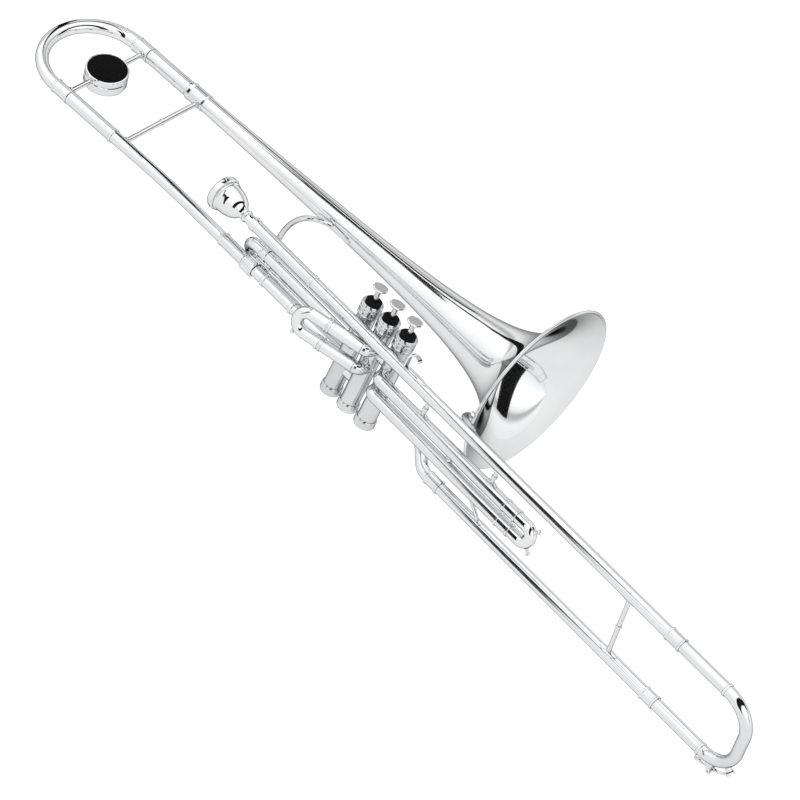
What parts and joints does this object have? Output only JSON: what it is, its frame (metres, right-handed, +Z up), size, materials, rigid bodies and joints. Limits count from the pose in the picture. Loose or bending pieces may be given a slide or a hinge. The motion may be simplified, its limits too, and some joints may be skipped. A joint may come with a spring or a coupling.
{
  "type": "valve trombone",
  "caption": "Silver-plated piston valve trombone with straight front bow, tuning slide with round counterweight, and wide bell",
  "frame": {"origin": "axis of the second valve at the middle of its casing, where the right hand grips", "axes": "+X forward to the bell and end bow, +Y to the player's left towards the bell, +Z up along the valve axes"},
  "size_m": [1.1111, 0.2771, 0.2031],
  "materials": {
    "silver_plate": "polished silver plate",
    "bright_silver": "bright polished silver plate",
    "satin_silver": "fine satin silver plate",
    "piston_nickel": "honed nickel plate",
    "spring_steel": "drawn spring wire",
    "black_felt": "dense black felt",
    "grey_inlay": "grey pearl inlay",
    "cork": "dark synthetic cork",
    "black_enamel": "gloss black enamel"
  },
  "bodies": {
    "horn": {"mouthpiece_receiver": "silver_plate", "leadpipe": "silver_plate", "pipe_ferrules": "silver_plate", "end_bow": "silver_plate", "return_tube": "silver_plate", "return_elbow": "silver_plate", "water_key_saddle": "silver_plate", "water_key_pin": "spring_steel", "water_key_spout": "silver_plate", "water_key_spring": "spring_steel", "valve_casing_1": "satin_silver", "valve_casing_2": "satin_silver", "valve_casing_3": "satin_silver", "top_caps": "satin_silver", "bottom_caps": "satin_silver", "valve_knuckles": "silver_plate", "felts": "black_felt", "valve_spring_1": "spring_steel", "valve_spring_2": "spring_steel", "valve_spring_3": "spring_steel", "first_slide_tubes": "silver_plate", "second_slide_tubes": "silver_plate", "third_slide_tubes": "silver_plate", "third_slide_braces": "silver_plate", "front_brace": "silver_plate", "finger_hook": "bright_silver", "outlet_tube": "silver_plate", "neck_receiver": "silver_plate", "neckpipe": "silver_plate", "neck_sleeve": "silver_plate", "bell_sleeve": "silver_plate", "bell_flare": "silver_plate", "bell_throat": "silver_plate", "bell_tail": "silver_plate", "bell_rim": "bright_silver", "bell_brace": "silver_plate", "curved_brace": "silver_plate", "bell_stay": "silver_plate"},
    "valve_1": {"piston_1": "piston_nickel", "finger_button_1": "bright_silver", "button_inlay_1": "grey_inlay"},
    "valve_2": {"piston_2": "piston_nickel", "finger_button_2": "bright_silver", "button_inlay_2": "grey_inlay"},
    "valve_3": {"piston_3": "piston_nickel", "finger_button_3": "bright_silver", "button_inlay_3": "grey_inlay"},
    "first_slide_body": {"first_slide": "bright_silver"},
    "second_slide_body": {"second_slide": "bright_silver", "second_slide_knob": "bright_silver"},
    "third_slide_body": {"third_slide": "bright_silver", "third_slide_nubs": "bright_silver"},
    "tuning_slide_body": {"tuning_slide": "bright_silver", "tuning_ferrules": "silver_plate", "counterweight": "silver_plate", "counterweight_badge": "black_enamel"},
    "water_key": {"water_key_lever": "bright_silver", "water_key_cork": "cork"},
    "mouthpiece_body": {"mouthpiece_crown": "bright_silver", "mouthpiece_bowl": "bright_silver", "mouthpiece_shank": "bright_silver"},
    "lock_nut_body": {"lock_nut": "silver_plate"}
  },
  "joints": [
    {"name": "valve_1_press", "type": "slide", "parent": "horn", "child": "valve_1", "axis": [0, 0, -1], "range_m": [0, 0.015], "stiffness_N_per_m": 100, "springref_m": -0.03, "deforming": ["valve_spring_1"]},
    {"name": "valve_2_press", "type": "slide", "parent": "horn", "child": "valve_2", "axis": [0, 0, -1], "range_m": [0, 0.015], "stiffness_N_per_m": 100, "springref_m": -0.03, "deforming": ["valve_spring_2"]},
    {"name": "valve_3_press", "type": "slide", "parent": "horn", "child": "valve_3", "axis": [0, 0, -1], "range_m": [0, 0.015], "stiffness_N_per_m": 100, "springref_m": -0.03, "deforming": ["valve_spring_3"]},
    {"name": "first_slide_pull", "type": "slide", "parent": "horn", "child": "first_slide_body", "axis": [-1, 0, 0], "range_m": [0, 0.06]},
    {"name": "second_slide_pull", "type": "slide", "parent": "horn", "child": "second_slide_body", "axis": [-0.9537, -0.3007, 0], "range_m": [0, 0.02]},
    {"name": "third_slide_pull", "type": "slide", "parent": "horn", "child": "third_slide_body", "axis": [1, 0, 0], "range_m": [0, 0.06]},
    {"name": "tuning_slide_pull", "type": "slide", "parent": "horn", "child": "tuning_slide_body", "axis": [-0.9985, -0.0488, -0.0262], "range_m": [0, 0.05]},
    {"name": "water_key_press", "type": "hinge", "parent": "horn", "child": "water_key", "pos_m": [0.53665, 0.00629, -0.06193], "axis": [0, 0.9744, 0.2246], "range_deg": [0, 10], "stiffness_Nm_per_rad": 0.02, "springref_deg": -34.38},
    {"name": "mouthpiece_pull", "type": "slide", "parent": "horn", "child": "mouthpiece_body", "axis": [-1, 0, 0], "range_m": [0, 0.034]},
    {"name": "lock_nut_turn", "type": "hinge", "parent": "horn", "child": "lock_nut_body", "pos_m": [-0.172, -0.0068, -0.01], "axis": [1, 0, 0], "continuous": true}
  ]
}
